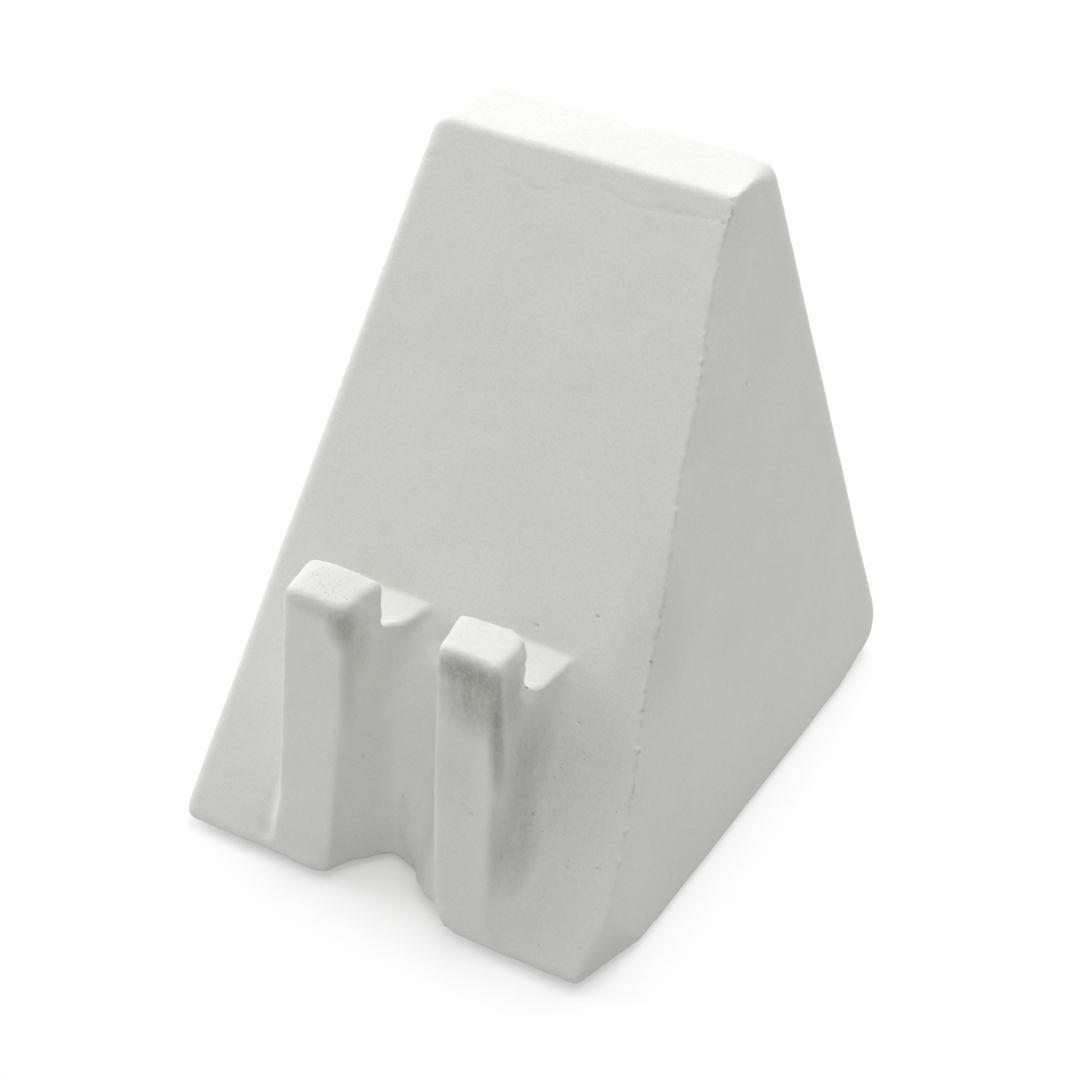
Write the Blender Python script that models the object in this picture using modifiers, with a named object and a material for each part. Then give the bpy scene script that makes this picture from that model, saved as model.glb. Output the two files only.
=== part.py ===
"""Wedge-shaped desk stand for a phone, cast in one piece and set on four felt pads.

The stand faces -Y, +Z is up and the table is at z = 0. Lengths are in metres.
"""

import math

import bmesh
import bpy
from mathutils import Vector

MM = 0.001

# Wedge, measured between the sharp lines in which its faces would meet.
BASE_WIDTH = 80.8 * MM
BASE_DEPTH = 107.8 * MM
WEDGE_HEIGHT = 107.5 * MM
TOP_WIDTH = 53.6 * MM
TOP_DEPTH = 14.8 * MM
TOP_SETBACK = 63.5 * MM

# Radius of each rounded edge. The right end was the open side of the mould, so its edges are sharp.
TOE_RADIUS = 1.5 * MM
HEEL_RADIUS = 6.5 * MM
BASE_LEFT_RADIUS = 2.0 * MM
FRONT_LEFT_RADIUS = 2.2 * MM
BACK_LEFT_RADIUS = 8.0 * MM
TOP_LEFT_RADIUS = 3.5 * MM
TOP_FRONT_RADIUS = 1.6 * MM
TOP_BACK_RADIUS = 3.0 * MM
ROUND_STEPS = 5

# Lugs, two upright fins in front of the sloping face. The left one rises from just behind the front of the
# toe, and the right one from just before it.
LUG_FOOT_RISE = 0.8 * MM
LUG_LEFT_SETBACK = 0.5 * MM
LUG_RIGHT_SETBACK = -0.5 * MM
LUG_LEAN = 5.5 * MM
LUG_TIP_DEPTH = 8.7 * MM
LUG_TIP_RISE = 1.1 * MM
LUG_LEFT_MIDDLE = 14.8 * MM
LUG_LEFT_WIDTH = 12.8 * MM
LUG_RIGHT_MIDDLE = 14.3 * MM
LUG_RIGHT_WIDTH = 11.8 * MM
LUG_EDGE_RADIUS = 1.2 * MM
LUG_TIP_RADIUS = 1.9 * MM
LUG_ROUND_STEPS = 3
LUG_ROOT_RADIUS = 2.5 * MM
LUG_ROOT_SINK = 0.1 * MM
LUG_ROOT_STEPS = 5
# A lug's half width grows by the flare for each unit back and shrinks by the draft for each unit up. The
# round at its root grows for each unit down from the slot. The left lug leans in for each unit up.
LUG_FLARE = 0.12
LUG_DRAFT = 0.026
LUG_ROOT_GROWTH = 0.055
LUG_LEFT_LEAN_IN = 0.02

# Slot behind the lug tips. The phone stands on its floor and leans on the sloping face.
SLOT_FLOOR = 43.2 * MM
SLOT_LIP = 10.4 * MM
SLOT_CORNER_RADIUS = 2.6 * MM
SLOT_CORNER_STEPS = 5

# Cable channel between the lugs. On the table it is deepest near the left lug and climbs gently to the
# right one, and it bites a little into the foot of both. At its top it stands clear of the lugs' sides and of
# the face, so it runs out into the face at about the height of the slot floor.
CHANNEL_LEFT_BITE = 2.0 * MM
CHANNEL_RIGHT_BITE = 1.7 * MM
CHANNEL_LEFT_MOUTH_DEPTH = 3.9 * MM
CHANNEL_RIGHT_MOUTH_DEPTH = 2.7 * MM
CHANNEL_DEEPEST_LEFT = 5.2 * MM
CHANNEL_DEEPEST_DEPTH = 11.2 * MM
CHANNEL_BEND_LEFT = 0.6 * MM
CHANNEL_BEND_DEPTH = 9.8 * MM
CHANNEL_SHOULDER_RIGHT = 4.8 * MM
CHANNEL_SHOULDER_DEPTH = 5.0 * MM
CHANNEL_MOUTH_FLARE = 2.5 * MM
CHANNEL_ABOVE_SLOT = 1.5 * MM
CHANNEL_TOP_FLOOR = 8.2 * MM
CHANNEL_TOP_SAG = 5.0 * MM
CHANNEL_RUN_OUT = 0.5 * MM
CHANNEL_SIDE_GAP = 0.3 * MM
CHANNEL_STEPS = 8
CHANNEL_CURVE_STEPS = 4

# Front right corner of the base, which is worn off.
WORN_ALONG_FRONT = 4.2 * MM
WORN_ALONG_END = 16.0 * MM
WORN_UP_EDGE = 12.0 * MM

# Felt pads, stuck on by an adhesive film.
PAD_DIAMETER = 12.0 * MM
PAD_THICKNESS = 0.8 * MM
PAD_EDGE_RADIUS = 0.2 * MM
PAD_SEGMENTS = 40
PAD_ROUND_STEPS = 2
ADHESIVE_FILM = 0.3 * MM
PAD_SIDE_INSET = 12.5 * MM
PAD_FRONT_INSET = 13.0 * MM
PAD_REAR_INSET = 14.0 * MM

# Room by which a form is buried, or a cutter reaches past what it cuts, and what counts as no distance.
BURIED = 6.0 * MM
CLEAR = 6.0 * MM
NEAR = 0.01 * MM

CASTING_COLOUR = (0.78, 0.785, 0.76)
CASTING_ROUGHNESS = 0.85
FELT_COLOUR = (0.20, 0.19, 0.18)
FELT_ROUGHNESS = 0.95


def clear_scene():
    for old in list(bpy.data.objects):
        bpy.data.objects.remove(old, do_unlink=True)


def new_collection(name):
    made = bpy.data.collections.new(name)
    bpy.context.scene.collection.children.link(made)
    return made


def new_material(name, colour, roughness):
    material = bpy.data.materials.new(name)
    material.use_nodes = True
    shader = material.node_tree.nodes["Principled BSDF"]
    shader.inputs["Base Color"].default_value = (*colour, 1.0)
    shader.inputs["Roughness"].default_value = roughness
    shader.inputs["Metallic"].default_value = 0.0
    return material


def new_object(name, mesh_data, collection, material=None):
    bmesh.ops.recalc_face_normals(mesh_data, faces=mesh_data.faces)
    mesh = bpy.data.meshes.new(name)
    mesh_data.to_mesh(mesh)
    mesh_data.free()
    made = bpy.data.objects.new(name, mesh)
    collection.objects.link(made)
    if material:
        mesh.materials.append(material)
    return made


def new_form(name, mesh_data, collection):
    form = new_object(name, mesh_data, collection)
    form.hide_render = True
    form.display_type = "WIRE"
    return form


def add_bevel(target, width, steps):
    bevel = target.modifiers.new("Rounded edges", "BEVEL")
    bevel.limit_method = "WEIGHT"
    bevel.offset_type = "OFFSET"
    bevel.width = width
    bevel.segments = steps
    bevel.use_clamp_overlap = False


def add_boolean(target, form, operation):
    boolean = target.modifiers.new(form.name, "BOOLEAN")
    boolean.object = form
    boolean.operation = operation
    boolean.solver = "EXACT"


def setback(edge, radius):
    """Distance from a sharp edge to where a round of this radius leaves its two faces."""
    inside = math.pi - edge.calc_face_angle()
    return radius / math.tan(inside / 2)


def set_radii(mesh_data, radius_of):
    """Weights each edge for a bevel, and returns the width that a weight of one stands for."""
    weight = mesh_data.edges.layers.float.new("bevel_weight_edge")
    mesh_data.normal_update()
    setbacks = {edge: setback(edge, radius_of(edge)) for edge in mesh_data.edges if radius_of(edge)}
    widest = max(setbacks.values())
    for edge, distance in setbacks.items():
        edge[weight] = distance / widest
    return widest


def loft(sections):
    """A closed solid through rings of points that match one to one."""
    mesh_data = bmesh.new()
    rings = [[mesh_data.verts.new(point) for point in section] for section in sections]
    for low, high in zip(rings, rings[1:]):
        for i in range(len(low)):
            j = (i + 1) % len(low)
            mesh_data.faces.new((low[i], low[j], high[j], high[i]))
    mesh_data.faces.new(reversed(rings[0]))
    mesh_data.faces.new(rings[-1])
    return mesh_data


def block(place):
    """A cube whose corners go where place puts them, given their signs in x, y and z."""
    mesh_data = bmesh.new()
    bmesh.ops.create_cube(mesh_data, size=2)
    for vertex in mesh_data.verts:
        vertex.co = place(*vertex.co)
    return mesh_data


def face_setback(height):
    """How far behind the sharp toe the sloping face is at this height."""
    return TOP_SETBACK * height / WEDGE_HEIGHT


def back_setback(height):
    """How far behind the sharp toe the back is at this height."""
    return BASE_DEPTH + (TOP_SETBACK + TOP_DEPTH - BASE_DEPTH) * height / WEDGE_HEIGHT


def end_reach(height):
    """How far to each side of the middle the ends of the wedge are at this height."""
    return (BASE_WIDTH + (TOP_WIDTH - BASE_WIDTH) * height / WEDGE_HEIGHT) / 2


def toe_front():
    """How far behind the sharp toe the round of the toe comes forward."""
    slope = math.atan2(WEDGE_HEIGHT, TOP_SETBACK)
    return TOE_RADIUS / math.tan(slope / 2) - TOE_RADIUS


def heel_back():
    """How far behind the sharp toe the round of the heel ends."""
    slope = math.atan2(WEDGE_HEIGHT, BASE_DEPTH - TOP_SETBACK - TOP_DEPTH)
    return BASE_DEPTH - HEEL_RADIUS / math.tan(slope / 2) + HEEL_RADIUS


def wedge_radius(edge):
    """Radius of a wedge edge: along the width, or round the left end. The right end is cut off later."""
    middle = (edge.verts[0].co + edge.verts[1].co) / 2
    span = edge.verts[1].co - edge.verts[0].co
    low = middle.z < WEDGE_HEIGHT / 4
    high = middle.z > WEDGE_HEIGHT * 3 / 4
    front = middle.y < (face_setback(middle.z) + back_setback(middle.z)) / 2
    if abs(span.x) > BASE_WIDTH / 2:
        if low:
            return TOE_RADIUS if front else HEEL_RADIUS
        return TOP_FRONT_RADIUS if front else TOP_BACK_RADIUS
    if middle.x > 0:
        return 0
    if low:
        return BASE_LEFT_RADIUS
    if high:
        return TOP_LEFT_RADIUS
    return FRONT_LEFT_RADIUS if front else BACK_LEFT_RADIUS


def wedge_mesh():
    """The wedge from its sharp toe at y = 0, left long at the right end, and its bevel width."""

    def place(x, y, z):
        height = WEDGE_HEIGHT if z > 0 else 0
        across = BASE_WIDTH / 2 + CLEAR if x > 0 else -end_reach(height)
        return across, back_setback(height) if y > 0 else face_setback(height), height

    mesh_data = block(place)
    return mesh_data, set_radii(mesh_data, wedge_radius)


def fill_face_mesh():
    """All that lies right of the leaning right end, where the mould was filled and struck off level."""

    def place(x, y, z):
        height = WEDGE_HEIGHT + CLEAR if z > 0 else -CLEAR
        across = BASE_WIDTH / 2 + 3 * CLEAR if x > 0 else end_reach(height)
        return across, BASE_DEPTH + CLEAR if y > 0 else -CLEAR, height

    return block(place)


def lug_front(side, height):
    """How far behind the sharp toe the front of the left (-1) or right (1) lug is at this height."""
    foot = toe_front() + (LUG_LEFT_SETBACK if side < 0 else LUG_RIGHT_SETBACK)
    lean_back = toe_front() + LUG_LEAN - foot
    return foot + lean_back * (height - LUG_FOOT_RISE) / (SLOT_FLOOR + SLOT_LIP - LUG_FOOT_RISE)


def face_normal():
    """The way out of the sloping face."""
    return Vector((0, -WEDGE_HEIGHT, TOP_SETBACK)).normalized()


def foremost():
    """How far behind the sharp toe the casting comes forward, at its toe or at a lug's foot."""
    return min(toe_front(), lug_front(-1, LUG_FOOT_RISE), lug_front(1, LUG_FOOT_RISE))


def lug_half_width(side, depth, height):
    """Half width of a lug, without the round at its root."""
    width = LUG_LEFT_WIDTH if side < 0 else LUG_RIGHT_WIDTH
    return width / 2 + LUG_FLARE * (depth - toe_front()) - LUG_DRAFT * height


def lug_middle(side, height):
    """Where the middle plane of a lug is at this height."""
    if side < 0:
        return -LUG_LEFT_MIDDLE + LUG_LEFT_LEAN_IN * height
    return LUG_RIGHT_MIDDLE


def lug_inner_edge(side, depth, height):
    """Where the side of a lug that faces the other lug is."""
    return lug_middle(side, height) - side * lug_half_width(side, depth, height)


def root_spread(point):
    """How far the hollow round at a lug's root spreads sideways at this point of the lug."""
    radius = LUG_ROOT_RADIUS + LUG_ROOT_GROWTH * (SLOT_FLOOR - point.z)
    clearance = point.dot(face_normal()) + LUG_ROOT_SINK
    inward = radius - min(max(clearance, 0), radius)
    return radius - math.sqrt(radius**2 - inward**2)


def lug_profile(side):
    """Side view of a lug as (depth, height): up the front, over the tip, through the slot, into the wedge."""
    tip = SLOT_FLOOR + SLOT_LIP
    tip_back = lug_front(side, tip) + LUG_TIP_DEPTH
    foot = lug_front(side, LUG_FOOT_RISE)
    outline = [(foot, LUG_FOOT_RISE), (lug_front(side, tip), tip), (tip_back, tip + LUG_TIP_RISE)]
    for i in range(SLOT_CORNER_STEPS + 1):
        turn = math.pi / 2 * i / SLOT_CORNER_STEPS
        depth = tip_back + SLOT_CORNER_RADIUS * (1 - math.cos(turn))
        height = SLOT_FLOOR + SLOT_CORNER_RADIUS * (1 - math.sin(turn))
        outline.append((depth, height))
    outline.append((face_setback(SLOT_FLOOR) + BURIED, SLOT_FLOOR))
    outline.append((foot + BURIED, LUG_FOOT_RISE))
    return outline


def lug_radius(edge, side):
    """Rounds the rim of the lug's tip and its upright edges, and leaves the slot and buried edges sharp."""
    low, high = sorted((vertex.co for vertex in edge.verts), key=lambda point: point.z)
    if low.z > SLOT_FLOOR + SLOT_LIP / 2:
        return LUG_TIP_RADIUS
    in_front = all(point.y < lug_front(side, point.z) + NEAR for point in (low, high))
    behind_tip = high.z > SLOT_FLOOR + SLOT_LIP / 2
    return LUG_EDGE_RADIUS if high.z > low.z + NEAR and (in_front or behind_tip) else 0


def lug_mesh(side):
    """One lug: its side view made solid, sliced along its root, then flared to its width there."""
    mesh_data = bmesh.new()
    outline = [mesh_data.verts.new((-1, depth, height)) for depth, height in lug_profile(side)]
    swept = bmesh.ops.extrude_face_region(mesh_data, geom=[mesh_data.faces.new(outline)])
    for vertex in (item for item in swept["geom"] if isinstance(item, bmesh.types.BMVert)):
        vertex.co.x = 1
    slot_line = Vector((0, face_setback(SLOT_FLOOR), SLOT_FLOOR))
    for step in range(LUG_ROOT_STEPS + 1):
        share = 1 - math.sin(math.pi / 2 * step / LUG_ROOT_STEPS)
        bmesh.ops.bisect_plane(
            mesh_data,
            geom=[*mesh_data.verts, *mesh_data.edges, *mesh_data.faces],
            plane_co=slot_line + face_normal() * (LUG_ROOT_RADIUS * share - LUG_ROOT_SINK),
            plane_no=face_normal() + Vector((0, 0, LUG_ROOT_GROWTH * share)),
        )
    for vertex in mesh_data.verts:
        vertex.co.x *= lug_half_width(side, vertex.co.y, vertex.co.z) + root_spread(vertex.co)
        vertex.co.x += lug_middle(side, vertex.co.z)
    bmesh.ops.recalc_face_normals(mesh_data, faces=mesh_data.faces)
    return mesh_data, set_radii(mesh_data, lambda edge: lug_radius(edge, side))


def smooth_line(points, steps):
    """A smooth curve through all the points but the first and the last, which only steer it."""
    curve = []
    for before, start, end, after in zip(points, points[1:], points[2:], points[3:]):
        for i in range(steps):
            t = i / steps
            point = Vector(start) * 2 + (Vector(end) - Vector(before)) * t
            point += (Vector(before) * 2 - Vector(start) * 5 + Vector(end) * 4 - Vector(after)) * t**2
            point += (Vector(start) * 3 - Vector(end) * 3 + Vector(after) - Vector(before)) * t**3
            curve.append(point / 2)
    curve.append(Vector(points[-2]))
    return curve


def channel_mesh():
    """The channel as a cutter, lofted from its outline on the table to the strip of face between the lugs."""
    left = (lug_inner_edge(-1, toe_front(), 0) - CHANNEL_LEFT_BITE, CHANNEL_LEFT_MOUTH_DEPTH)
    right = (lug_inner_edge(1, toe_front(), 0) + CHANNEL_RIGHT_BITE, CHANNEL_RIGHT_MOUTH_DEPTH)
    table = [
        (left[0] - CHANNEL_MOUTH_FLARE, -CLEAR),
        left,
        (-CHANNEL_DEEPEST_LEFT, CHANNEL_DEEPEST_DEPTH),
        (-CHANNEL_BEND_LEFT, CHANNEL_BEND_DEPTH),
        (CHANNEL_SHOULDER_RIGHT, CHANNEL_SHOULDER_DEPTH),
        right,
        (right[0] + CHANNEL_MOUTH_FLARE, -CLEAR),
    ]
    top = SLOT_FLOOR + CHANNEL_ABOVE_SLOT
    face = face_setback(top) - CHANNEL_RUN_OUT
    left_front, right_front = (lug_front(side, top) for side in (-1, 1))
    start = lug_inner_edge(-1, left_front, top) + CHANNEL_SIDE_GAP
    end = lug_inner_edge(1, right_front, top) - CHANNEL_SIDE_GAP
    floor = CHANNEL_TOP_FLOOR / 2
    strip = [
        (start, 0),
        (start, left_front),
        (-floor, face - CHANNEL_TOP_SAG),
        (0, face),
        (floor, face - CHANNEL_TOP_SAG),
        (end, right_front),
        (end, 0),
    ]
    low, high = ([line[0], *smooth_line(line, CHANNEL_CURVE_STEPS), line[-1]] for line in (table, strip))
    rings = []
    for i in range(-1, CHANNEL_STEPS + 1):
        share = i / CHANNEL_STEPS
        ring = [Vector(a).lerp(Vector(b), share).to_3d() for a, b in zip(low, high)]
        for point in ring:
            point.z = top * share
        rings.append(ring)
    return loft(rings)


def worn_corner_mesh():
    """A wedge-shaped cutter that takes off the front right corner of the base."""
    corner = Vector((BASE_WIDTH / 2, 0, 0))
    up_edge = Vector((end_reach(WEDGE_HEIGHT) - end_reach(0), TOP_SETBACK, WEDGE_HEIGHT)).normalized()
    reaches = [Vector((-WORN_ALONG_FRONT, 0, 0)), Vector((0, WORN_ALONG_END, 0)), up_edge * WORN_UP_EDGE]
    middle = sum(reaches, Vector()) / 3
    mesh_data = bmesh.new()
    for reach in reaches:
        mesh_data.verts.new(corner + middle + (reach - middle) * 3)
    mesh_data.verts.new(corner - middle.normalized() * 2 * CLEAR)
    bmesh.ops.convex_hull(mesh_data, input=mesh_data.verts)
    return mesh_data


def build_casting(parts, forms):
    """The casting: a rounded wedge struck off at its right end, with lugs, cable channel and worn corner."""
    material = new_material("White cast plaster", CASTING_COLOUR, CASTING_ROUGHNESS)
    mesh_data, width = wedge_mesh()
    casting = new_object("cast_body", mesh_data, parts, material)
    add_bevel(casting, width, ROUND_STEPS)
    for side, name in ((-1, "lug_left_form"), (1, "lug_right_form")):
        mesh_data, width = lug_mesh(side)
        lug = new_form(name, mesh_data, forms)
        lug.parent = casting
        add_bevel(lug, width, LUG_ROUND_STEPS)
        add_boolean(casting, lug, "UNION")
    cutters = {
        "fill_face_cutter": fill_face_mesh(),
        "channel_cutter": channel_mesh(),
        "worn_corner_cutter": worn_corner_mesh(),
    }
    for name, mesh_data in cutters.items():
        cutter = new_form(name, mesh_data, forms)
        cutter.parent = casting
        add_boolean(casting, cutter, "DIFFERENCE")
    casting.location = (0, -(foremost() + heel_back()) / 2, PAD_THICKNESS + ADHESIVE_FILM)


def pad_mesh():
    mesh_data = bmesh.new()
    bmesh.ops.create_cone(
        mesh_data,
        cap_ends=True,
        segments=PAD_SEGMENTS,
        radius1=PAD_DIAMETER / 2,
        radius2=PAD_DIAMETER / 2,
        depth=PAD_THICKNESS,
    )
    rims = [edge for edge in mesh_data.edges if edge.verts[0].co.z * edge.verts[1].co.z > 0]
    bmesh.ops.bevel(
        mesh_data,
        geom=rims,
        offset=PAD_EDGE_RADIUS,
        segments=PAD_ROUND_STEPS,
        profile=0.5,
        affect="EDGES",
    )
    return mesh_data


def build_pads(parts):
    """Four felt discs under the corners of the base."""
    material = new_material("Grey felt", FELT_COLOUR, FELT_ROUGHNESS)
    across = BASE_WIDTH / 2 - PAD_SIDE_INSET
    front = -(heel_back() - foremost()) / 2 + PAD_FRONT_INSET
    rear = (heel_back() - foremost()) / 2 - PAD_REAR_INSET
    for end, y in (("front", front), ("rear", rear)):
        for side, x in (("left", -across), ("right", across)):
            pad = new_object(f"foot_pad_{end}_{side}", pad_mesh(), parts, material)
            pad.location = (x, y, PAD_THICKNESS / 2)


clear_scene()
part_collection = new_collection("Phone stand")
form_collection = new_collection("Forms and cutters")
build_casting(part_collection, form_collection)
build_pads(part_collection)
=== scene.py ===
import bmesh
import bpy
import numpy
from mathutils import Matrix, Vector, kdtree, noise


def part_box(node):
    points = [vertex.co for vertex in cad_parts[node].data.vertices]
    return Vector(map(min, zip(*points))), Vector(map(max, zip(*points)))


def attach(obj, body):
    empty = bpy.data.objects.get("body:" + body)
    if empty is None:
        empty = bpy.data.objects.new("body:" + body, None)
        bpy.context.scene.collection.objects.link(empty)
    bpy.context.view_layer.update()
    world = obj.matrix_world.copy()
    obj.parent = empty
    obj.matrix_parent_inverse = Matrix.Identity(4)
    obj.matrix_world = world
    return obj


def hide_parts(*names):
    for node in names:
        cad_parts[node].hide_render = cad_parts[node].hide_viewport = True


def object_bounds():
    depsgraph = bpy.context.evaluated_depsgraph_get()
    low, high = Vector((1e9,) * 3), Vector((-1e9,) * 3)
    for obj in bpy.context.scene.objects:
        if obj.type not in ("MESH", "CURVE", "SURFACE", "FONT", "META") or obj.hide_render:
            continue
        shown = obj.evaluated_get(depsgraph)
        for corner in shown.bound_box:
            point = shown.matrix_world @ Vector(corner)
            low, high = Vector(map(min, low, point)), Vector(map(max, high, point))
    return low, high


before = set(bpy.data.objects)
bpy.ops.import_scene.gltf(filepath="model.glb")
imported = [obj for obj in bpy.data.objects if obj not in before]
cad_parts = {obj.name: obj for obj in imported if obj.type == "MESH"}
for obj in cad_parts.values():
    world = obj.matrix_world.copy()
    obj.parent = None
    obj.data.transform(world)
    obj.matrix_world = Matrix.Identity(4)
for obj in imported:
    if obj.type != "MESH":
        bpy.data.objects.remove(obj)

solid_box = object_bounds()

# Camera
# The photograph looks down on the stand from its front right, through a long lens at about half
# a metre.
MM = 0.001
CAMERA_PLACE = Vector((171.84, -287.77, 290.36)) * MM
CAMERA_RIGHT = Vector((0.8571, 0.5151, -0.0015))
CAMERA_FORWARD = Vector((-0.4146, 0.6880, -0.5956))
PHOTO_PIXELS = 1075
FOCAL_PIXELS = 2500
SENSOR_WIDTH = 36

lens = bpy.data.cameras.new("long_lens")
lens.sensor_width = SENSOR_WIDTH
lens.lens = SENSOR_WIDTH * FOCAL_PIXELS / PHOTO_PIXELS
lens.clip_start = 10 * MM
camera = bpy.data.objects.new("camera", lens)
camera_right, camera_forward = CAMERA_RIGHT.normalized(), CAMERA_FORWARD.normalized()
camera_up = CAMERA_RIGHT.cross(CAMERA_FORWARD).normalized()
camera_turn = Matrix((camera_right, camera_up, -camera_forward)).transposed()
camera.matrix_world = Matrix.Translation(CAMERA_PLACE) @ camera_turn.to_4x4()
bpy.context.scene.collection.objects.link(camera)
bpy.context.scene.camera = camera

# Casting
# The stand itself: one solid piece of gypsum plaster, poured into an open mould that lay on its
# left side. The moulded edges came out soft and are worn at the corners. The right end is the
# pour, struck off level with a straight edge, which left a crumbling line of flash on its rim.
CASTING_GRID = 0.45 * MM
CASTING_TRIANGLES = 190000
SAME_POINT = 0.01 * MM
WITHIN = 0.02 * MM


def finished_mesh(piece):
    """The mesh of an object with its modifiers applied."""
    finished = piece.evaluated_get(bpy.context.evaluated_depsgraph_get())
    return bpy.data.meshes.new_from_object(finished)


def new_piece(name, mesh_data):
    """An object at the origin, with its place in its mesh."""
    piece = bpy.data.objects.new(name, mesh_data)
    bpy.context.scene.collection.objects.link(piece)
    return piece


solid_form = bmesh.new()
solid_form.from_mesh(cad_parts["cast_body"].data)
bmesh.ops.remove_doubles(solid_form, verts=solid_form.verts, dist=SAME_POINT)
casting_mesh = bpy.data.meshes.new("casting")
solid_form.to_mesh(casting_mesh)
solid_form.free()
casting = new_piece("casting", casting_mesh)
gridded = casting.modifiers.new("gridded", "REMESH")
gridded.mode = "VOXEL"
gridded.voxel_size = CASTING_GRID
casting.data = finished_mesh(casting)
casting.modifiers.clear()

# Planes of the wedge, as (outward direction, point in millimetres). A slope is how far the plane
# leans in for each millimetre of height.
BASE_HEIGHT = 1.1
WEDGE_HEIGHT = 107.5
FACE_FOOT = -53.2
FACE_SLOPE = 63.5 / WEDGE_HEIGHT
END_FOOT = 40.4
END_SLOPE = 13.6 / WEDGE_HEIGHT
BACK_FOOT = 54.6
BACK_SLOPE = 29.5 / WEDGE_HEIGHT
FACE_PLANE = (Vector((0, -1, FACE_SLOPE)).normalized(), Vector((0, FACE_FOOT, BASE_HEIGHT)))
BACK_PLANE = (Vector((0, 1, BACK_SLOPE)).normalized(), Vector((0, BACK_FOOT, BASE_HEIGHT)))
END_PLANE = (Vector((1, 0, END_SLOPE)).normalized(), Vector((END_FOOT, 0, BASE_HEIGHT)))
TOP_PLANE = (Vector((0, 0, 1)), Vector((0, 0, BASE_HEIGHT + WEDGE_HEIGHT)))

# The moulded surface is softened a little all over, but not along the rim of the struck-off end.
# The back edge of that end is worn too, most of all close to it, as (reach, rounds of wear), and
# twice as far around its heel, as (y, height).
SOFT_ROUNDS = 1
RIM_KEPT = 1.2
BACK_RIM_ZONES = ((8.0, 3), (6.8, 8), (5.6, 13), (4.4, 18))
HEEL = Vector((52, 1.1))

# Edges that left the mould clean, where the planes of a lug's tip meet and where the slot's floor
# meets its wall. Each is a box, the round now, the height in which the sharpening builds up from
# the foot of the box, and planes as (outward direction, point), all in millimetres.
TIP_TOP = ((0, -0.125, 1), (0, -45, 54.9))
TIP_BACK = ((0, 1, 0), (0, -37.87, 0))
SLOT_WALL = ((0, -1, 0), (0, -37.87, 0))
SLOT_FLOOR = ((0, 0, -1), (0, 0, 44.3))
CLEAN_EDGES = (
    ((-22, -50, 42), (-5, -37.5, 58), 1.9, 8, (
        TIP_TOP, ((0, -1, 0.095), (0, -46.57, 54.7)),
        ((1, -0.12, 0), (-7.86, -45, 53)), TIP_BACK)),
    ((6, -50, 42), (23, -37.5, 58), 1.9, 8, (
        TIP_TOP, ((0, -1, 0.114), (0, -46.57, 54.7)),
        ((1, -0.12, 0.026), (19.7, -45, 53)), ((-1, -0.12, 0.026), (8.9, -45, 53)), TIP_BACK)),
    ((-24, -38.2, 43.5), (-3, -29, 51), 2.6, 0, (SLOT_WALL, SLOT_FLOOR)),
    ((4.5, -38.2, 43.5), (25, -29, 51), 2.6, 0, (SLOT_WALL, SLOT_FLOOR)),
)
CLEAN_ROUND = 1.0

# Worn and softly moulded places, each a box in millimetres and the rounds of wear. Half of the
# rounds stay within the core of the box, so that the wear eases off towards its sides.
WORN_PLACES = {
    "left_tip": ((-22, -50, 46), (-4, -36, 58), 3),
    "left_tip_outer_edge": ((-22, -50, 44), (-17.5, -38, 57), 11),
    "right_tip": ((5, -50, 46), (24, -36, 58), 2),
    "left_foot_outer_edge": ((-27, -54, 1), (-18, -46, 16), 13),
    "left_foot_inner_corner": ((-14, -54, -2), (-4, -45, 6), 13),
    "right_foot_inner_corner": ((1, -54, -2), (14, -41, 9), 45),
    "channel": ((-8.3, -51, 6), (6.5, -26, 42), 84),
    "left_lug_left_edge": ((-22.5, -53, 3), (-18.5, -46, 49), 4),
    "right_lug_left_edge": ((6.5, -53, 3), (11, -46, 49), 4),
    "worn_base_corner": ((32, -54, 0), (42, -33, 16), 7),
    "top_left_corner": ((-30, 5, 100), (-18, 26, 110), 3),
}
CORE_INSET = 0.15
WEAR_SHARE = 0.9


def off_plane(place, plane):
    """How far a place is from a plane, on either side of it, in millimetres."""
    out, point = plane
    return abs(out.dot(place - point))


def inside(form, low, high):
    """The vertices of a form in a box in millimetres."""
    low, high = Vector(low) * MM, Vector(high) * MM
    return [
        vert for vert in form.verts
        if low.x < vert.co.x < high.x
        and low.y < vert.co.y < high.y
        and low.z < vert.co.z < high.z
    ]


def wear(form, verts, rounds):
    """Rounds the surface: each vertex goes most of the way to the middle of its neighbours."""
    for _ in range(rounds):
        bmesh.ops.smooth_vert(
            form, verts=verts, factor=WEAR_SHARE,
            use_axis_x=True, use_axis_y=True, use_axis_z=True)


def sharpen(form, low, high, round_now, build_up, planes):
    """Tightens the rounds between planes in a box by drawing the surface closer to each plane."""
    for vert in inside(form, low, high):
        place = vert.co / MM
        share = min((place.z - low[2]) / build_up, 1) if build_up else 1
        for out, point in planes:
            out = Vector(out).normalized()
            depth = out.dot(Vector(point) - place)
            if 0 < depth < round_now:
                place += out * share * (depth - depth * CLEAN_ROUND / round_now)
            elif round_now <= depth < 2 * round_now:
                place += out * share * (2 - depth / round_now) * (round_now - CLEAN_ROUND)
        vert.co = place * MM


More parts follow.
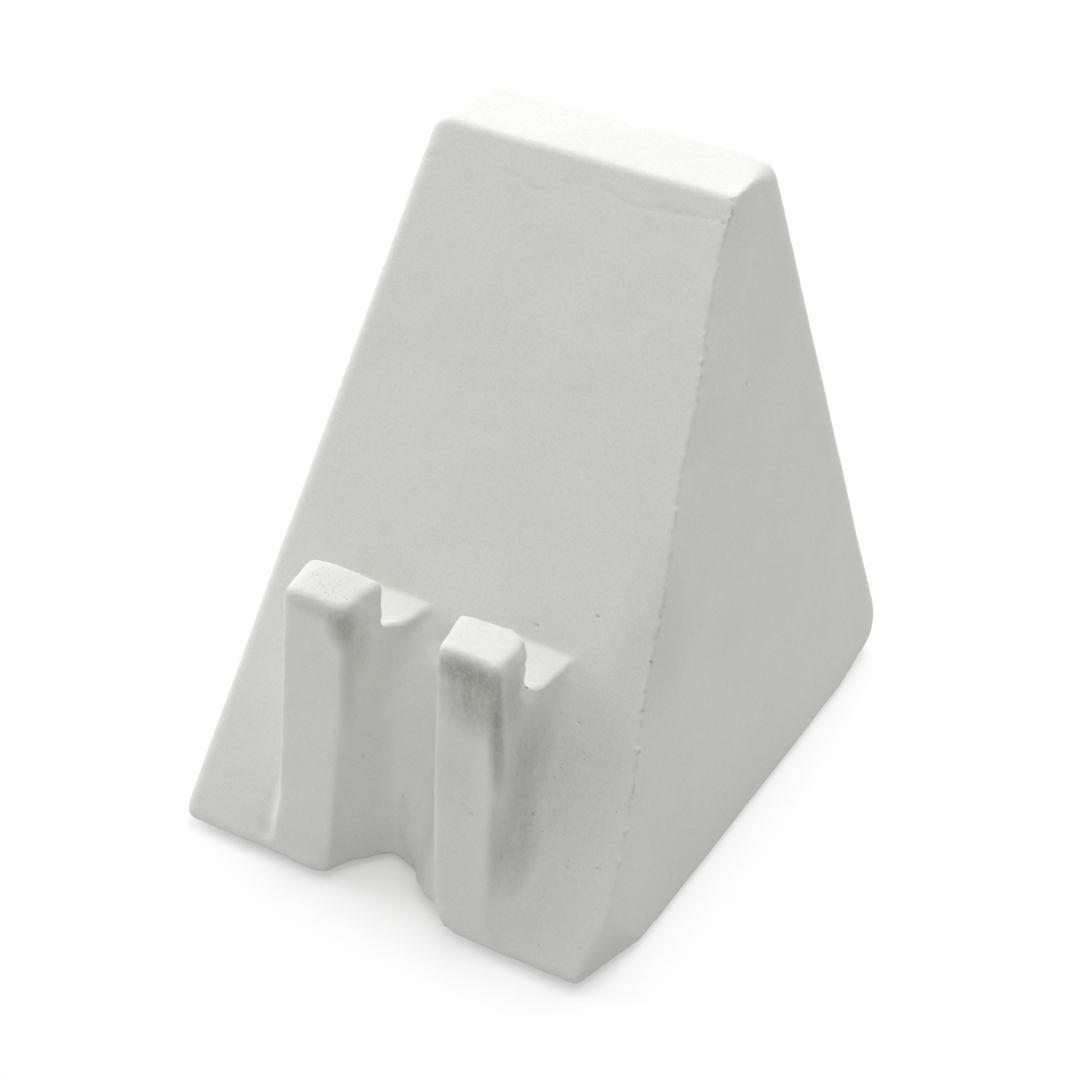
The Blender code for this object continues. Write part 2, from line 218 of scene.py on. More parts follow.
casting_form = bmesh.new()
casting_form.from_mesh(casting.data)
moulded = [
    vert for vert in casting_form.verts if off_plane(vert.co / MM, END_PLANE) > RIM_KEPT
]
wear(casting_form, moulded, SOFT_ROUNDS)
for reach, rounds in BACK_RIM_ZONES:
    by_end = [
        vert for vert in casting_form.verts if off_plane(vert.co / MM, END_PLANE) < reach
    ]
    back_rim = [
        vert for vert in by_end
        if off_plane(vert.co / MM, BACK_PLANE) < reach
        or ((vert.co / MM).yz - HEEL).length < 2 * reach
    ]
    wear(casting_form, back_rim, rounds)
for edge in CLEAN_EDGES:
    sharpen(casting_form, *edge)
for low, high, rounds in WORN_PLACES.values():
    core_low = Vector(low).lerp(Vector(high), CORE_INSET)
    core_high = Vector(high).lerp(Vector(low), CORE_INSET)
    wear(casting_form, inside(casting_form, low, high), rounds // 2)
    wear(casting_form, inside(casting_form, core_low, core_high), rounds - rounds // 2)

# Unevenness of the cast surface, as (spacing, height) in millimetres, and of the chipped lugs
SWELLS = ((17.0, 0.13), (6.0, 0.05), (2.2, 0.022))
CHIP_SPACING = 1.0
CHIP_HEIGHT = 0.09
CHIPPED_LUGS_FROM = 46.0

# Flash on the rim of the struck-off end, as (plane that the rim borders, share). It stands in
# crumbs, given as (spacing, share), and is broken away where they don't reach a level.
RIM_FLASH = ((FACE_PLANE, 1.0), (TOP_PLANE, 0.7))
FLASH_HEIGHT = 0.7
FLASH_REACH = 0.9
FLASH_FOOT = 4.0
CRUMBS = ((1.0, 1.0), (0.45, 0.5))
BROKEN_LEVEL = 0.1

# The front edge of that end wanders a little, given as (height, offset to the right)
RIM_WANDER = (
    (0, 0.0), (12, 0.0), (16, 0.15), (22, 0.4), (31, 0.35), (40, -0.15), (58, 0.0), (65, -0.3),
    (73, -0.65), (81, -0.1), (86, -0.3), (92, -0.7), (102, -0.65), (107, 0.0), (110, 0.1),
)
WANDER_REACH = 9.0

# Where the casting came out of true, as (middle, reach, push): the ledges bulge at the side and
# stand higher at the wall, the right lug's wall stands upright, and the channel's mouth has a
# sharper corner
PUSHES = (
    ((-6.5, -34.5, 44.0), 4.0, (0.4, 0, 0)),
    ((-5.5, -31.0, 44.0), 3.5, (0.9, 0, 0)),
    ((-6.8, -37.0, 45.0), 3.5, (0, -0.3, 1.8)),
    ((-7.0, -38.3, 50.0), 3.5, (0.35, 0, 0)),
    ((-7.2, -38.6, 54.0), 3.5, (0.6, 0, 0.2)),
    ((16.5, -38.2, 54.8), 1.3, (0, 0.3, 0.15)),
    ((8.3, -39.0, 54.5), 4.0, (-0.6, 0, 0)),
    ((8.6, -43.0, 54.0), 3.5, (-0.3, 0, 0)),
    ((20.5, -38.3, 46.0), 3.5, (-1.2, -0.6, 0.8)),
    ((20.5, -38.3, 50.0), 3.5, (-0.8, -0.5, 0)),
    ((20.4, -38.3, 54.5), 3.5, (-0.6, -0.6, 0)),
    ((24.0, -28.0, 44.3), 4.0, (-1.2, 0, 0)),
    ((0.5, -44.0, 1.5), 3.5, (0, 1.1, 0)),
)

# Tips of the lugs, as (middle x, half width): their tops sank as the plaster set, most of all at
# the back, and are a little domed, with a bulging back edge
LUG_TIPS = ((-13.7, 6.6), (14.3, 6.1))
TIP_MIDDLE = -42.3
TIP_HALF_DEPTH = 4.5
TIP_FOOT = 50.0
TIP_BUILD_UP = 4.0
TIP_SPREAD = 1.2
TIP_SINK = 0.45
TIP_TILT = 0.2
TIP_RISE = 0.3
TIP_BULGE = 0.4


def fade(share):
    """One at the middle of a mark, easing to nothing at its edge."""
    return (1 - min(share, 1) ** 2) ** 2


def along(pairs, value):
    """The second number of a list of pairs, read between those whose first bracket a value."""
    for (a, low), (b, high) in zip(pairs, pairs[1:]):
        if value <= b:
            return low + (high - low) * max(0, value - a) / (b - a)
    return pairs[-1][1]


def unevenness(place, from_end):
    """How far swells, chips and flash raise the surface at a place, in millimetres."""
    height = 0.0
    for spacing, swell in SWELLS:
        height += swell * noise.noise(place / spacing)
    if place.z > CHIPPED_LUGS_FROM and place.y < TIP_MIDDLE + TIP_HALF_DEPTH:
        height += CHIP_HEIGHT * noise.noise(place / CHIP_SPACING)
    if from_end < FLASH_REACH and place.z > FLASH_FOOT:
        crumbs = sum(share * noise.noise(place / spacing) for spacing, share in CRUMBS)
        for plane, amount in RIM_FLASH:
            share = fade(from_end / FLASH_REACH) * fade(off_plane(place, plane) / FLASH_REACH)
            height += share * amount * FLASH_HEIGHT * max(0, crumbs - BROKEN_LEVEL)
    return height


def out_of_true(place, from_end):
    """How far the shape is off at a place, as a shift in millimetres."""
    shift = Vector()
    from_face = off_plane(place, FACE_PLANE)
    if from_end < WANDER_REACH and from_face < WANDER_REACH:
        share = fade(from_end / WANDER_REACH) * fade(from_face / WANDER_REACH)
        shift.x += share * along(RIM_WANDER, place.z)
    for middle, reach, push in PUSHES:
        shift += Vector(push) * fade((place - Vector(middle)).length / reach)
    for middle, half_width in LUG_TIPS:
        across = (place.x - middle) / half_width
        back = (place.y - TIP_MIDDLE) / TIP_HALF_DEPTH
        if place.z > TIP_FOOT and abs(across) < TIP_SPREAD and abs(back) < TIP_SPREAD:
            share = min(1, (place.z - TIP_FOOT) / TIP_BUILD_UP)
            bow = share * max(0, 1 - across ** 2)
            dome = TIP_RISE * bow * (1 - back ** 2 / 2)
            shift.z += dome - share * (TIP_SINK + TIP_TILT * back)
            shift.y += TIP_BULGE * bow * max(0, back)
    return shift


rises, shifts = [], []
surface = kdtree.KDTree(len(casting_form.verts))
for vert in casting_form.verts:
    place = vert.co / MM
    from_end = off_plane(place, END_PLANE)
    rises.append(unevenness(place, from_end))
    shifts.append(out_of_true(place, from_end))
    surface.insert(vert.co, vert.index)
surface.balance()

# Creases that the mould's lining left below the top edge, and a nick on the left edge, as
# (x, height) on the sloping face, in millimetres
CREASES = (
    ((-11.8, 103.7), (-9.3, 103.4), (-7.9, 102.9), (-5.9, 102.4), (-4.3, 102.9), (-3.1, 102.2)),
    ((5.1, 105.2), (7.0, 104.9), (9.9, 104.1), (11.2, 104.0), (13.8, 104.3), (18.8, 104.7),
     (26.5, 105.5)),
    ((-25.9, 102.8), (-24.8, 103.2), (-23.6, 103.5)),
)
CREASE_DEPTH = 0.09
CREASE_HALF_WIDTH = 0.65

# Raised lines along the left edges of the lugs' fronts and the foot of the struck-off end's rim
EDGE_RIDGES = (
    ((-19.4, -46.6, 51.3), (-19.6, -48.2, 37.0), (-20.1, -49.5, 23.1), (-20.8, -50.5, 11.5),
     (-21.9, -51.5, 4.0)),
    ((8.9, -46.8, 51.0), (9.2, -47.2, 46.7), (9.3, -48.0, 41.3), (9.0, -50.2, 22.0),
     (8.2, -52.0, 5.0)),
    ((35.3, -36.6, 29.0), (36.5, -40.1, 23.1), (37.7, -43.3, 17.8), (38.8, -46.3, 12.5),
     (38.8, -46.7, 7.6)),
)
RIDGE_HEIGHT = 0.08
RIDGE_HALF_WIDTH = 0.8

# Middle of the channel, which is filled up a little, and the root of the left lug's left side,
# which is sunk
CHANNEL_MIDDLE = ((-2.5, -44.5, 9.0), (-1.5, -39.0, 20.0), (-0.5, -31.0, 35.0))
CHANNEL_FILL = 1.5
CHANNEL_FILL_HALF_WIDTH = 5.5
LEFT_ROOT = (
    (-23.4, -50.9, 5.0), (-23.2, -49.4, 9.0), (-22.8, -46.5, 15.0), (-22.2, -43.0, 22.0),
)
ROOT_DEPTH = 0.6
ROOT_HALF_WIDTH = 2.5

# Pinholes left by air bubbles, as (place, radius), open along the rim and scattered on the lugs
PINHOLES = (
    ((30.8, 9.8, 77.3), 0.48),
    ((-7.9, -43.9, 23.3), 0.44),
    ((-3.7, -37.5, 12.9), 0.40),
    ((9.4, -49.2, 30.7), 0.48),
    ((22.3, -41.2, 22.9), 0.44),
    ((29.7, -43.8, 17.1), 0.52),
    ((35.0, -42.8, 18.7), 0.40),
    ((20.3, -47.6, 17.8), 0.40),
    ((-8.0, -45.3, 32.1), 0.40),
    ((-7.5, -42.5, 26.7), 0.40),
    ((16.2, -49.7, 26.8), 0.36),
    ((14.2, -26.2, 46.9), 0.40),
    ((25.4, -32.3, 36.4), 0.44),
    ((23.5, -23.9, 50.7), 0.36),
    ((33.6, -21.0, 54.8), 0.40),
    ((33.8, -22.2, 53.6), 0.36),
    ((34.0, -24.0, 50.6), 0.44),
    ((34.5, -25.8, 47.4), 0.32),
    ((35.2, -29.6, 41.0), 0.48),
    ((36.1, -32.7, 35.4), 0.40),
    ((36.8, -35.9, 29.9), 0.44),
    ((40.0, -51.5, 3.0), 0.56),
    ((27.0, 9.3, 106.4), 0.34),
    ((26.5, 8.3, 105.2), 0.30),
    ((26.4, 10.3, 108.3), 0.36),
)
PINHOLE_DEPTH = 0.37
LINE_STEP = 0.2


def face_point(x, height):
    """A point on the plane of the sloping face, in millimetres."""
    return x, FACE_FOOT + FACE_SLOPE * (height - BASE_HEIGHT), height


def draw_line(points, half_width, height):
    """Raises or sinks the surface along a line of points by a height, all in millimetres."""
    raised = {}
    points = [Vector(point) * MM for point in points]
    for start, end in zip(points, points[1:]):
        steps = 1 + int((end - start).length / (LINE_STEP * MM))
        for step in range(steps):
            middle, _, _ = surface.find(start.lerp(end, step / steps))
            for _, index, distance in surface.find_range(middle, half_width * MM):
                raised[index] = max(raised.get(index, 0), fade(distance / (half_width * MM)))
    for index, share in raised.items():
        rises[index] += share * height


for crease in CREASES:
    draw_line([face_point(*mark) for mark in crease], CREASE_HALF_WIDTH, -CREASE_DEPTH)
for ridge in EDGE_RIDGES:
    draw_line(ridge, RIDGE_HALF_WIDTH, RIDGE_HEIGHT)
draw_line(CHANNEL_MIDDLE, CHANNEL_FILL_HALF_WIDTH, CHANNEL_FILL)
draw_line(LEFT_ROOT, ROOT_HALF_WIDTH, -ROOT_DEPTH)
for place, radius in PINHOLES:
    middle, _, _ = surface.find(Vector(place) * MM)
    for _, index, distance in surface.find_range(middle, radius * MM):
        rises[index] -= PINHOLE_DEPTH * fade(distance / (radius * MM))

# All of it moves the surface at once, and no vertex leaves the box of the solids
casting_form.normal_update()
for vert, rise, shift in zip(casting_form.verts, rises, shifts):
    vert.co += (vert.normal * rise + shift) * MM
    vert.co = [
        min(max(value, low + WITHIN), high - WITHIN)
        for value, low, high in zip(vert.co, *solid_box)
    ]
casting_form.to_mesh(casting.data)
casting_form.free()
thinned = casting.modifiers.new("thinned", "DECIMATE")
triangles = sum(len(face.vertices) - 2 for face in casting.data.polygons)
thinned.ratio = CASTING_TRIANGLES / triangles
casting.data = finished_mesh(casting)
casting.modifiers.clear()
for face in casting.data.polygons:
    face.use_smooth = True

# Handling marks and painted shade, as (middle, reach, strength) in millimetres: grey grime that
# rubbed off under the tips, down the edges of the lugs and at the lower right; painted shade, with
# some real grime, down the right lug's right side; a painted shadow of the right lug on the face
# to its right;
# and specks in open pores, mostly of the left tip
GRIME_AND_SHADE_PATCHES = (
    ((-13.5, -43.0, 55.3), (7.0, 5.0, 2.5), 0.12),
    ((-13.0, -46.8, 52.8), (8.0, 2.5, 2.4), 0.25),
    ((-8.6, -46.4, 51.0), (3.5, 3.5, 5.0), 0.6),
    ((-7.4, -44.0, 46.5), (2.0, 4.0, 7.5), 0.3),
    ((-7.9, -46.6, 40.0), (1.4, 2.5, 12.0), 0.2),
    ((14.5, -46.9, 51.8), (10.0, 2.5, 3.4), 0.6),
    ((16.0, -47.3, 48.0), (8.5, 2.5, 10.0), 0.6),
    ((19.9, -47.2, 42.0), (1.8, 2.5, 14.0), 0.65),
    ((20.2, -48.8, 22.0), (1.2, 3.0, 18.0), 0.2),
    ((20.2, -43.5, 47.0), (2.5, 5.0, 8.0), 0.4),
    # Painted shade, with some real grime, on the right lug's right side
    ((21.2, -41.0, 33.0), (3.5, 8.0, 15.0), 0.35),
    ((21.8, -44.5, 18.0), (3.5, 7.0, 14.0), 0.42),
    ((14.3, -49.5, 18.0), (6.5, 3.0, 22.0), 0.1),
    ((12.5, -48.6, 33.0), (6.5, 2.5, 15.0), 0.16),
    # Painted shadow of the right lug on the face to its right
    ((28.0, -37.0, 29.0), (12.0, 18.0, 27.0), 0.19),
    ((30.0, -48.0, 6.0), (14.0, 9.0, 12.0), 0.12),
    ((33.0, -24.0, 50.0), (7.0, 13.0, 22.0), 0.15),
)
SPECK_PATCHES = (
    ((-13.5, -43.0, 55.0), (5.5, 4.0, 2.5), 1.0),
    ((-8.0, -44.0, 45.0), (3.0, 5.0, 8.0), 0.2),
    ((15.0, -47.0, 49.0), (8.0, 4.0, 8.0), 0.25),
    ((24.0, -40.0, 33.0), (9.0, 10.0, 16.0), 0.12),
    ((30.0, -44.0, 15.0), (9.0, 10.0, 12.0), 0.08),
)
PATCH_EASE = 1.5
# Painted shade in the pinholes: a dark core of part of each pinhole's radius, and how dark it is
PINHOLE_SHADE_CORE = 0.5
PINHOLE_SHADE_STRENGTH = 0.9


def paint(piece, name, patches):
    """Stores soft patches on the vertices of a piece, under a name that its material reads."""
    places = numpy.empty(3 * len(piece.data.vertices))
    piece.data.vertices.foreach_get("co", places)
    places = places.reshape(-1, 3) / MM
    bare = numpy.ones(len(places))
    for middle, reach, strength in patches:
        away = (((places - middle) / reach) ** 2).sum(axis=1)
        bare *= 1 - strength * numpy.clip(1 - away, 0, 1) ** PATCH_EASE
    painted = piece.data.attributes.new(name, "FLOAT", "POINT")
    painted.data.foreach_set("value", 1 - bare)


# Grime with the painted shade and shadow, the specks, and painted shade in the pinholes
paint(casting, "grime_and_shade", GRIME_AND_SHADE_PATCHES)
paint(casting, "specks", SPECK_PATCHES)
paint(casting, "pinhole_shade", [
    (place, (radius * PINHOLE_SHADE_CORE,) * 3, PINHOLE_SHADE_STRENGTH) for place, radius in PINHOLES])


def linear(hex_colour):
    """An sRGB hex colour as the linear RGBA that a shader takes."""
    channels = []
    for start in (1, 3, 5):
        value = int(hex_colour[start:start + 2], 16) / 255
        channels.append(value / 12.92 if value <= 0.04045 else ((value + 0.055) / 1.055) ** 2.4)
    return (*channels, 1)


def add_node(material, kind, settings, inputs):
    """Adds a node to a material, sets it up, and gives each named input a value or a link."""
    node = material.node_tree.nodes.new(kind)
    for name, value in settings.items():
        setattr(node, name, value)
    for name, value in inputs.items():
        if isinstance(value, bpy.types.NodeSocket):
            material.node_tree.links.new(value, node.inputs[name])
        else:
            node.inputs[name].default_value = value
    return node


def per_metre(spacing):
    """The texture scale that repeats a pattern at a spacing in millimetres."""
    return 1 / (spacing * MM)


# Cast gypsum plaster, dry and unpainted: a chalky off-white with no shine, faint clouds where it
# dried unevenly, a fine grit of about half a millimetre, and open pores that hold grime where it
# is handled.
# Painted shade and a painted shadow darken the right lug's right side and the face beside it, and
# painted shade darkens the pinholes.
PLASTER = "#ECECE9"
PLASTER_CLOUD = "#E3E3DF"
GRIME_AND_SHADE = "#86857A"
PORE_SPECK_AND_PINHOLE_SHADE = "#5F5D58"
CLOUD_SPACING = 14
GRIT_SPACING = 0.45
GRIT_BUMP = 0.09
PORE_SPACING = 0.5
GRIME_AND_SHADE_SPACING = 1.6
STREAK_SHARE = 0.35
STREAK_STRETCH = 0.12

plaster = bpy.data.materials.new("cast_plaster")
plaster.use_nodes = True
plaster_shader = plaster.node_tree.nodes["Principled BSDF"]
plaster_shader.inputs["IOR"].default_value = 1.52
where = add_node(plaster, "ShaderNodeTexCoord", {}, {}).outputs["Object"]
clouds = add_node(plaster, "ShaderNodeTexNoise", {}, {
    "Vector": where, "Scale": per_metre(CLOUD_SPACING),
    "Detail": 4, "Roughness": 0.6}).outputs["Fac"]
grit = add_node(plaster, "ShaderNodeTexNoise", {}, {
    "Vector": where, "Scale": per_metre(GRIT_SPACING),
    "Detail": 3, "Roughness": 0.6}).outputs["Fac"]
clouded = add_node(plaster, "ShaderNodeMix", {"data_type": "RGBA"}, {
    0: clouds, 6: linear(PLASTER), 7: linear(PLASTER_CLOUD)}).outputs[2]
gritty_share = add_node(plaster, "ShaderNodeMapRange", {}, {
    "Value": grit, "From Min": 0.3, "From Max": 0.7,
    "To Min": 0.955, "To Max": 1.025}).outputs["Result"]
gritty = add_node(plaster, "ShaderNodeVectorMath", {"operation": "SCALE"}, {
    0: clouded, "Scale": gritty_share}).outputs["Vector"]

# Grime and painted shade: the painted patches, broken up by streaks that run down the lugs and by
# blots
streak_place = add_node(plaster, "ShaderNodeMapping", {}, {
    "Vector": where, "Scale": (1, 1, STREAK_STRETCH)}).outputs["Vector"]
streaks = add_node(plaster, "ShaderNodeTexNoise", {}, {
    "Vector": streak_place, "Scale": per_metre(GRIME_AND_SHADE_SPACING),
    "Detail": 5, "Roughness": 0.65}).outputs["Fac"]
blots = add_node(plaster, "ShaderNodeTexNoise", {}, {
    "Vector": where, "Scale": per_metre(GRIME_AND_SHADE_SPACING / 2),
    "Detail": 5, "Roughness": 0.7}).outputs["Fac"]
grime_and_shade_patches = add_node(
    plaster, "ShaderNodeAttribute", {"attribute_name": "grime_and_shade"}, {}).outputs["Fac"]
broken = add_node(plaster, "ShaderNodeMix", {}, {
    0: STREAK_SHARE, 2: blots, 3: streaks}).outputs[0]
broken_share = add_node(plaster, "ShaderNodeMapRange", {}, {
    "Value": broken, "From Min": 0.35, "From Max": 0.62,
    "To Min": 0.55, "To Max": 1.0}).outputs["Result"]
grime_and_shade_share = add_node(plaster, "ShaderNodeMath", {"operation": "MULTIPLY", "use_clamp": True}, {
    0: grime_and_shade_patches, 1: broken_share}).outputs[0]
grimy_and_shaded = add_node(plaster, "ShaderNodeMix", {"data_type": "RGBA"}, {
    0: grime_and_shade_share, 6: gritty, 7: linear(GRIME_AND_SHADE)}).outputs[2]

# Pores: small dark specks, thick on the painted patches and rare elsewhere, and painted shade in
# the pinholes
pores = add_node(plaster, "ShaderNodeTexVoronoi", {}, {
    "Vector": where, "Scale": per_metre(PORE_SPACING), "Randomness": 1.0})
pore_chance = add_node(
    plaster, "ShaderNodeSeparateColor", {}, {0: pores.outputs["Color"]}).outputs[0]
speck_patches = add_node(
    plaster, "ShaderNodeAttribute", {"attribute_name": "specks"}, {}).outputs["Fac"]
pore_limit = add_node(plaster, "ShaderNodeMapRange", {}, {
    "Value": speck_patches, "From Min": 0.0, "From Max": 1.0,
    "To Min": 0.9992, "To Max": 0.2}).outputs["Result"]
pore_here = add_node(plaster, "ShaderNodeMath", {"operation": "GREATER_THAN"}, {
    0: pore_chance, 1: pore_limit}).outputs[0]
pore_round = add_node(plaster, "ShaderNodeMapRange", {}, {
    "Value": pores.outputs["Distance"], "From Min": 0.1, "From Max": 0.32,
    "To Min": 0.42, "To Max": 0.0}).outputs["Result"]
pore_share = add_node(plaster, "ShaderNodeMath", {"operation": "MULTIPLY"}, {
    0: pore_here, 1: pore_round}).outputs[0]
pinhole_shade_share = add_node(
    plaster, "ShaderNodeAttribute", {"attribute_name": "pinhole_shade"}, {}).outputs["Fac"]
speck_and_pinhole_shade_share = add_node(plaster, "ShaderNodeMath", {"operation": "MAXIMUM", "use_clamp": True}, {
    0: pore_share, 1: pinhole_shade_share}).outputs[0]
# The dark colour is dirt in the pores and painted shade in the pinholes
finished_colour = add_node(plaster, "ShaderNodeMix", {"data_type": "RGBA"}, {
    0: speck_and_pinhole_shade_share, 6: grimy_and_shaded, 7: linear(PORE_SPECK_AND_PINHOLE_SHADE)}).outputs[2]
plaster.node_tree.links.new(finished_colour, plaster_shader.inputs["Base Color"])

# Chalky finish: rough all over, a shade less so in some of the clouds
chalky = add_node(plaster, "ShaderNodeMapRange", {}, {
    "Value": clouds, "From Min": 0.3, "From Max": 0.7,
    "To Min": 0.84, "To Max": 0.95}).outputs["Result"]
plaster.node_tree.links.new(chalky, plaster_shader.inputs["Roughness"])
pitted = add_node(plaster, "ShaderNodeMath", {"operation": "SUBTRACT"}, {
    0: grit, 1: pore_share}).outputs[0]
bumps = add_node(plaster, "ShaderNodeBump", {}, {
    "Height": pitted, "Strength": 0.6, "Distance": GRIT_BUMP * MM}).outputs["Normal"]
plaster.node_tree.links.new(bumps, plaster_shader.inputs["Normal"])

casting.data.materials.append(plaster)
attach(casting, "root")
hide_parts("cast_body")

# Felt pads
# Four round pads punched from wool felt, stuck under the base so that the plaster does not
# scratch a table. The punch leaves a fuzzy rim, and the stand's weight presses them flat.
PADS = ("foot_pad_front_left", "foot_pad_front_right", "foot_pad_rear_left", "foot_pad_rear_right")
PAD_ROUND_SEGMENTS = 48
PAD_RINGS = 5
PAD_RIM = 0.25 * MM
PAD_RIM_SEGMENTS = 3
PAD_FUZZ = 0.09 * MM
PAD_FUZZ_SPACING = 0.7

# Wool felt, pressed from dyed fibres: dark, matt, with a soft sheen at a slant and a tangle of
# paler fibres. The fibres are drawn about five times as thick as real wool so that they show.
FELT = "#4A4844"
FELT_FIBRE = "#6E6A63"
FIBRE_SPACING = 0.5
FIBRE_BUMP = 0.1

felt = bpy.data.materials.new("wool_felt")
felt.use_nodes = True
felt_shader = felt.node_tree.nodes["Principled BSDF"]
felt_shader.inputs["Roughness"].default_value = 0.95
felt_shader.inputs["Sheen Weight"].default_value = 0.35
felt_shader.inputs["Sheen Roughness"].default_value = 0.6
felt_place = add_node(felt, "ShaderNodeTexCoord", {}, {}).outputs["Object"]
tangle = add_node(felt, "ShaderNodeTexNoise", {}, {
    "Vector": felt_place, "Scale": per_metre(FIBRE_SPACING),
    "Detail": 6, "Roughness": 0.7, "Distortion": 2.5}).outputs["Fac"]
fibre_share = add_node(felt, "ShaderNodeMapRange", {}, {
    "Value": tangle, "From Min": 0.4, "From Max": 0.65}).outputs["Result"]
felt_colour = add_node(felt, "ShaderNodeMix", {"data_type": "RGBA"}, {
    0: fibre_share, 6: linear(FELT), 7: linear(FELT_FIBRE)}).outputs[2]
felt_bumps = add_node(felt, "ShaderNodeBump", {}, {
    "Height": tangle, "Strength": 0.8, "Distance": FIBRE_BUMP * MM}).outputs["Normal"]
felt.node_tree.links.new(felt_colour, felt_shader.inputs["Base Color"])
felt.node_tree.links.new(felt_bumps, felt_shader.inputs["Normal"])


def cap_faces(form):
    """The round faces at the two ends of a pad."""
    return [face for face in form.faces if len(face.verts) > 4]


for node_name in PADS:
    low, high = (Vector(corner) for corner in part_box(node_name))
    radius = (high.x - low.x) / 2 - PAD_FUZZ
    underside = Vector(((low.x + high.x) / 2, (low.y + high.y) / 2, low.z))
    pad_form = bmesh.new()
    bmesh.ops.create_circle(pad_form, cap_ends=True, segments=PAD_ROUND_SEGMENTS, radius=radius)
    bmesh.ops.translate(pad_form, verts=pad_form.verts, vec=underside)
    raised = bmesh.ops.extrude_face_region(pad_form, geom=pad_form.faces[:])["geom"]
    raised_verts = [item for item in raised if isinstance(item, bmesh.types.BMVert)]
    bmesh.ops.translate(pad_form, verts=raised_verts, vec=(0, 0, high.z - low.z))
    bmesh.ops.recalc_face_normals(pad_form, faces=pad_form.faces)
    rims = [edge for face in cap_faces(pad_form) for edge in face.edges]
    bmesh.ops.bevel(
        pad_form, geom=rims, offset=PAD_RIM, affect="EDGES", segments=PAD_RIM_SEGMENTS,
        profile=0.5, material=-1)
    for _ in range(PAD_RINGS):
        bmesh.ops.inset_individual(
            pad_form, faces=cap_faces(pad_form), thickness=radius / (PAD_RINGS + 1))
    for vert in pad_form.verts:
        outward = Vector((vert.co.x - underside.x, vert.co.y - underside.y, 0))
        fuzz = noise.noise(vert.co / (PAD_FUZZ_SPACING * MM))
        if outward.length > radius - 2 * PAD_RIM:
            vert.co += outward.normalized() * PAD_FUZZ * fuzz
    pad_mesh = bpy.data.meshes.new("felt_" + node_name)
    pad_form.to_mesh(pad_mesh)
    pad_form.free()
    for face in pad_mesh.polygons:
        face.use_smooth = True
    pad = new_piece("felt_" + node_name, pad_mesh)
    pad.data.materials.append(felt)
    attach(pad, "root")
    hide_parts(node_name)

# Floor
# A plain white table top. Close to the base it takes the light as it falls and keeps the soft
# shadow of the stand, and further out it shows pure white, as in the photograph.
FLOOR_REACH = 3.0
SHADOW_FROM = (0.032, 0.046, 0)
SHADOW_REACH = 0.022
TABLE_TOP = "#DADADA"
SHADED_TOP = "#E1E1E1"
TOP_GLOW = 0.3

floor_form = bmesh.new()
bmesh.ops.create_grid(floor_form, x_segments=1, y_segments=1, size=FLOOR_REACH)
floor_mesh = bpy.data.meshes.new("floor")
floor_form.to_mesh(floor_mesh)
floor_form.free()
floor = new_piece("floor", floor_mesh)
white_top = bpy.data.materials.new("white_table_top")
white_top.use_nodes = True
floor_shader = white_top.node_tree.nodes["Principled BSDF"]
floor_shader.inputs["Base Color"].default_value = linear(TABLE_TOP)
floor_shader.inputs["Roughness"].default_value = 0.9

# How far a point is from a rectangle a little smaller than the base
floor_place = add_node(white_top, "ShaderNodeTexCoord", {}, {}).outputs["Object"]
mirrored_place = add_node(white_top, "ShaderNodeVectorMath", {"operation": "ABSOLUTE"}, {
    0: floor_place}).outputs[0]
past_base = add_node(white_top, "ShaderNodeVectorMath", {"operation": "SUBTRACT"}, {
    0: mirrored_place, 1: SHADOW_FROM}).outputs[0]
off_base = add_node(white_top, "ShaderNodeVectorMath", {"operation": "MAXIMUM"}, {
    0: past_base, 1: (0, 0, 0)}).outputs[0]
floor_distance = add_node(white_top, "ShaderNodeVectorMath", {"operation": "LENGTH"}, {
    0: off_base}).outputs["Value"]
far_share = add_node(white_top, "ShaderNodeMapRange", {"interpolation_type": "SMOOTHSTEP"}, {
    "Value": floor_distance, "From Min": 0, "From Max": SHADOW_REACH}).outputs["Result"]

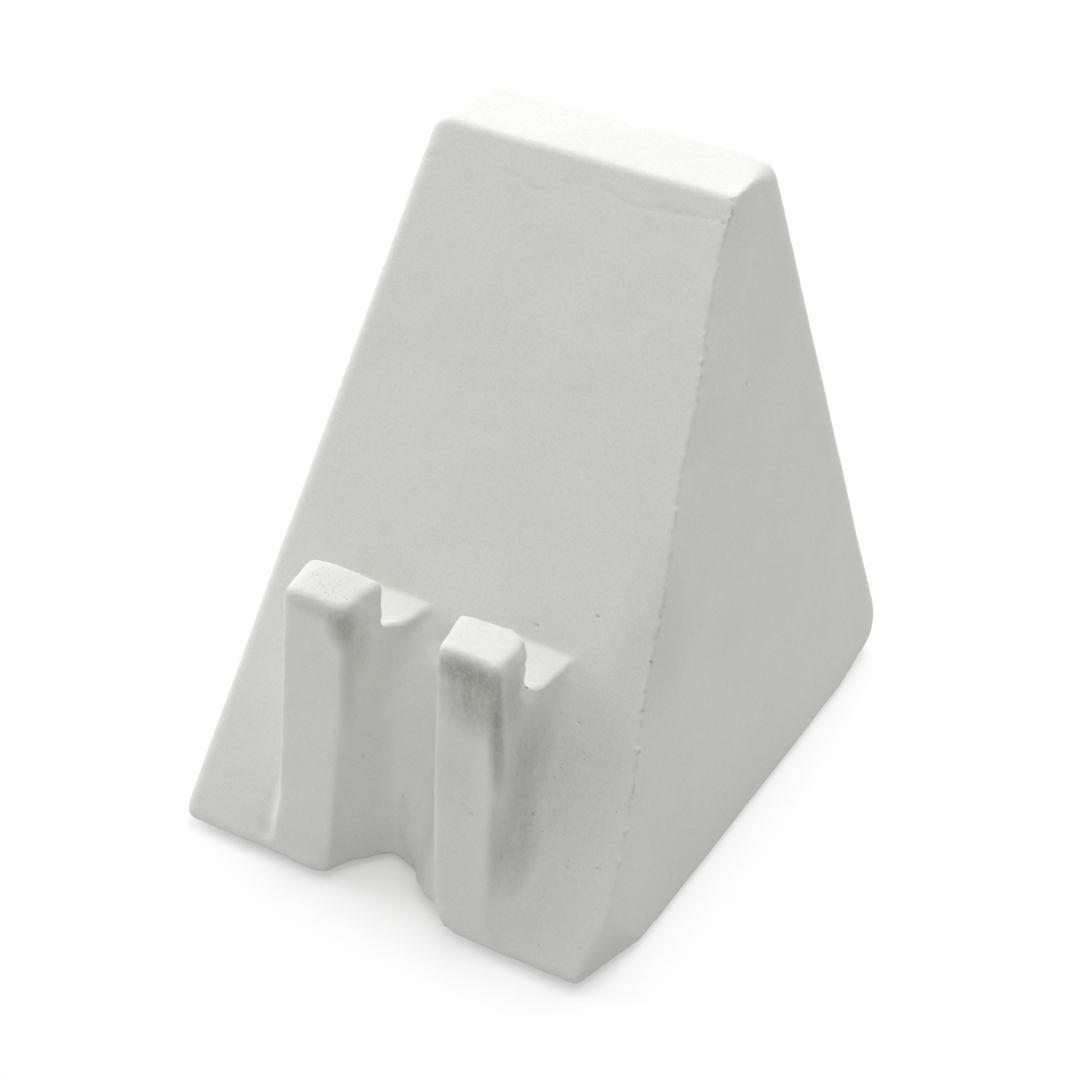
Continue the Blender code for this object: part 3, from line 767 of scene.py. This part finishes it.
# The white top is for what is seen directly, and the stand is lit by the plain one
shaded = add_node(
    white_top, "ShaderNodeBsdfDiffuse", {}, {"Color": linear(SHADED_TOP)}).outputs["BSDF"]
glow = add_node(
    white_top, "ShaderNodeEmission", {}, {"Strength": TOP_GLOW}).outputs["Emission"]
near_top = add_node(white_top, "ShaderNodeAddShader", {}, {0: shaded, 1: glow}).outputs["Shader"]
far_top = add_node(white_top, "ShaderNodeEmission", {}, {"Strength": 1.0}).outputs["Emission"]
seen_top = add_node(white_top, "ShaderNodeMixShader", {}, {
    0: far_share, 1: near_top, 2: far_top}).outputs["Shader"]
paths = add_node(white_top, "ShaderNodeLightPath", {}, {}).outputs
seen = paths["Is Camera Ray"]
for path in ("Is Glossy Ray", "Is Transmission Ray"):
    seen = add_node(white_top, "ShaderNodeMath", {"operation": "MAXIMUM"}, {
        0: seen, 1: paths[path]}).outputs[0]
top_finish = add_node(white_top, "ShaderNodeMixShader", {}, {
    0: seen, 1: floor_shader.outputs["BSDF"], 2: seen_top}).outputs["Shader"]
top_output = white_top.node_tree.nodes["Material Output"]
white_top.node_tree.links.new(top_finish, top_output.inputs["Surface"])
floor.data.materials.append(white_top)

# Light
# One broad soft lamp above and behind the stand, one to its left, weak ones in front and
# overhead, and a pale room that fills the shadows. Lamps are (name, place, size, power), in
# metres and watts, and all are turned to the middle of the stand.
ROOM_BRIGHTNESS = 0.398
LAMP_AIM = Vector((0, 0, 0.05))
LAMPS = (
    ("back_lamp", (0, 0.516, 0.787), 0.8, 5.21),
    ("left_lamp", (-0.846, 0, 0.358), 0.6, 3.7),
    ("front_lamp", (0, -0.846, 0.358), 0.6, 0.62),
    ("overhead_lamp", (0, 0, 0.95), 0.8, 1.75),
)

world = bpy.data.worlds.new("pale_room")
world.use_nodes = True
room = world.node_tree.nodes["Background"]
room.inputs["Color"].default_value = (1, 1, 1, 1)
room.inputs["Strength"].default_value = ROOM_BRIGHTNESS
bpy.context.scene.world = world

for name, place, size, power in LAMPS:
    lamp = bpy.data.lights.new(name, "AREA")
    lamp.size = size
    lamp.energy = power
    holder = bpy.data.objects.new(name, lamp)
    holder.location = place
    holder.rotation_euler = (LAMP_AIM - Vector(place)).to_track_quat("-Z", "Y").to_euler()
    bpy.context.scene.collection.objects.link(holder)

bpy.context.scene.view_settings.view_transform = "Standard"
